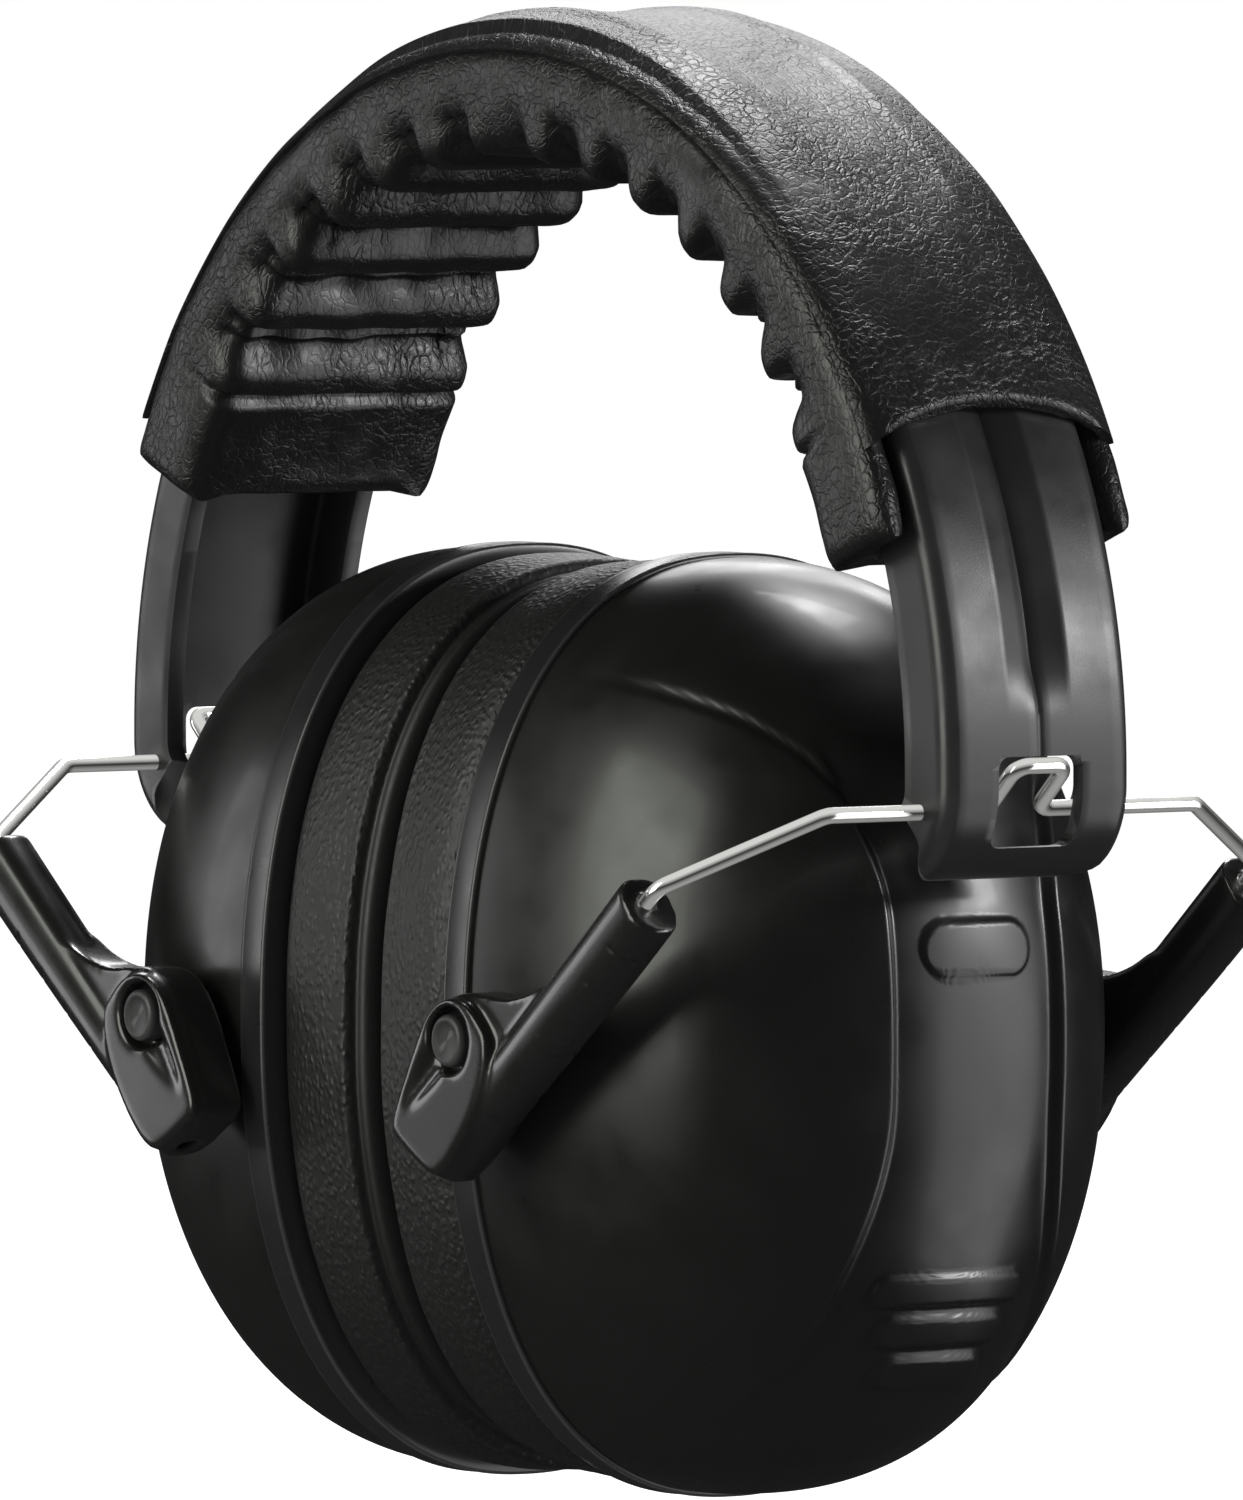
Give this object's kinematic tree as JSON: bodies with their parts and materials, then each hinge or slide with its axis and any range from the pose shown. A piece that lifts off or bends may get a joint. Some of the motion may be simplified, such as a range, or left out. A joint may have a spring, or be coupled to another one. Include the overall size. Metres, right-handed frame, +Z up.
{
  "type": "hearing protection earmuffs",
  "caption": "Folding over-the-head earmuffs: a padded flexible band with wire yokes, sliding arms and tilting domed cups with soft ear cushions, for protection from noise.",
  "frame": {"origin": "midway between the two cups, on the line through the centres of their ear openings", "axes": "+X towards the right cup, -Y towards the front, +Z up to the crown of the headband"},
  "size_m": [0.1608, 0.0896, 0.1639],
  "materials": {
    "band_plastic": "satin black moulded nylon",
    "cover_leatherette": "black grained leatherette",
    "pad_leatherette": "black grained leatherette over foam, ribbed",
    "spring_wire": "polished spring steel wire",
    "arm_plastic": "gloss black",
    "pin_plastic": "satin black",
    "shell_plastic": "gloss black ABS",
    "trim_plastic": "satin black, fine texture",
    "ring_plastic": "matte black",
    "cushion_skin": "black pebbled PVC skin over foam",
    "dust_cloth": "thin black nonwoven cloth",
    "absorber_foam": "open-cell foam, dark grey"
  },
  "bodies": {
    "headband": {"headband_crown": "band_plastic", "headband_cover": "cover_leatherette", "headband_pad": "pad_leatherette"},
    "right_band_end": {"right_band_end": "band_plastic"},
    "right_yoke": {"right_yoke_wire": "spring_wire"},
    "right_arms": {"right_front_arm": "arm_plastic", "right_rear_arm": "arm_plastic"},
    "right_pins": {"right_pivot_pins": "pin_plastic"},
    "right_cup": {"right_outer_shell": "shell_plastic", "right_trim_ring": "trim_plastic", "right_cushion_ring": "ring_plastic", "right_ear_cushion": "cushion_skin", "right_dust_cloth": "dust_cloth", "right_absorber_foam": "absorber_foam"},
    "left_band_end": {"left_band_end": "band_plastic"},
    "left_yoke": {"left_yoke_wire": "spring_wire"},
    "left_arms": {"left_front_arm": "arm_plastic", "left_rear_arm": "arm_plastic"},
    "left_pins": {"left_pivot_pins": "pin_plastic"},
    "left_cup": {"left_outer_shell": "shell_plastic", "left_trim_ring": "trim_plastic", "left_cushion_ring": "ring_plastic", "left_ear_cushion": "cushion_skin", "left_dust_cloth": "dust_cloth", "left_absorber_foam": "absorber_foam"}
  },
  "joints": [
    {"name": "right_band_flex", "type": "hinge", "parent": "headband", "child": "right_band_end", "pos_m": [0.05607, 0, 0.08607], "axis": [0, -1, 0], "range_deg": [0, 40], "stiffness_Nm_per_rad": 0.6, "deforming": ["headband_cover", "headband_pad"]},
    {"name": "right_yoke_fold", "type": "hinge", "parent": "right_band_end", "child": "right_yoke", "pos_m": [0.0739, 0, 0.026], "axis": [0, -1, 0], "range_deg": [-32, 0], "deforming": ["right_ear_cushion"]},
    {"name": "right_arm_slide", "type": "slide", "parent": "right_yoke", "child": "right_arms", "axis": [-0.7672, 0, -0.6414], "range_m": [0, 0.02], "deforming": ["right_ear_cushion"]},
    {"name": "right_cup_level", "type": "hinge", "parent": "right_arms", "child": "right_pins", "pos_m": [0.03006, 0, 0.00017], "axis": [0, -1, 0], "range_deg": [0, 32], "deforming": ["right_ear_cushion"]},
    {"name": "right_cup_tilt", "type": "hinge", "parent": "right_pins", "child": "right_cup", "pos_m": [0.03006, 0, 0.00017], "axis": [0, 1, 0], "range_deg": [-10, 20], "deforming": ["right_ear_cushion"]},
    {"name": "left_band_flex", "type": "hinge", "parent": "headband", "child": "left_band_end", "pos_m": [-0.05607, 0, 0.08607], "axis": [0, 1, 0], "range_deg": [0, 40], "stiffness_Nm_per_rad": 0.6, "deforming": ["headband_cover", "headband_pad"]},
    {"name": "left_yoke_fold", "type": "hinge", "parent": "left_band_end", "child": "left_yoke", "pos_m": [-0.0739, 0, 0.026], "axis": [0, 1, 0], "range_deg": [-32, 0], "deforming": ["left_ear_cushion"]},
    {"name": "left_arm_slide", "type": "slide", "parent": "left_yoke", "child": "left_arms", "axis": [0.7672, 0, -0.6414], "range_m": [0, 0.02], "deforming": ["left_ear_cushion"]},
    {"name": "left_cup_level", "type": "hinge", "parent": "left_arms", "child": "left_pins", "pos_m": [-0.03006, 0, 0.00017], "axis": [0, 1, 0], "range_deg": [0, 32], "deforming": ["left_ear_cushion"]},
    {"name": "left_cup_tilt", "type": "hinge", "parent": "left_pins", "child": "left_cup", "pos_m": [-0.03006, 0, 0.00017], "axis": [0, -1, 0], "range_deg": [-10, 20], "deforming": ["left_ear_cushion"]}
  ],
  "couplings": [
    {"joint": "left_band_flex", "follows": "right_band_flex", "ratio": 1},
    {"joint": "right_cup_level", "follows": "right_yoke_fold", "ratio": -1},
    {"joint": "left_cup_level", "follows": "left_yoke_fold", "ratio": -1}
  ]
}
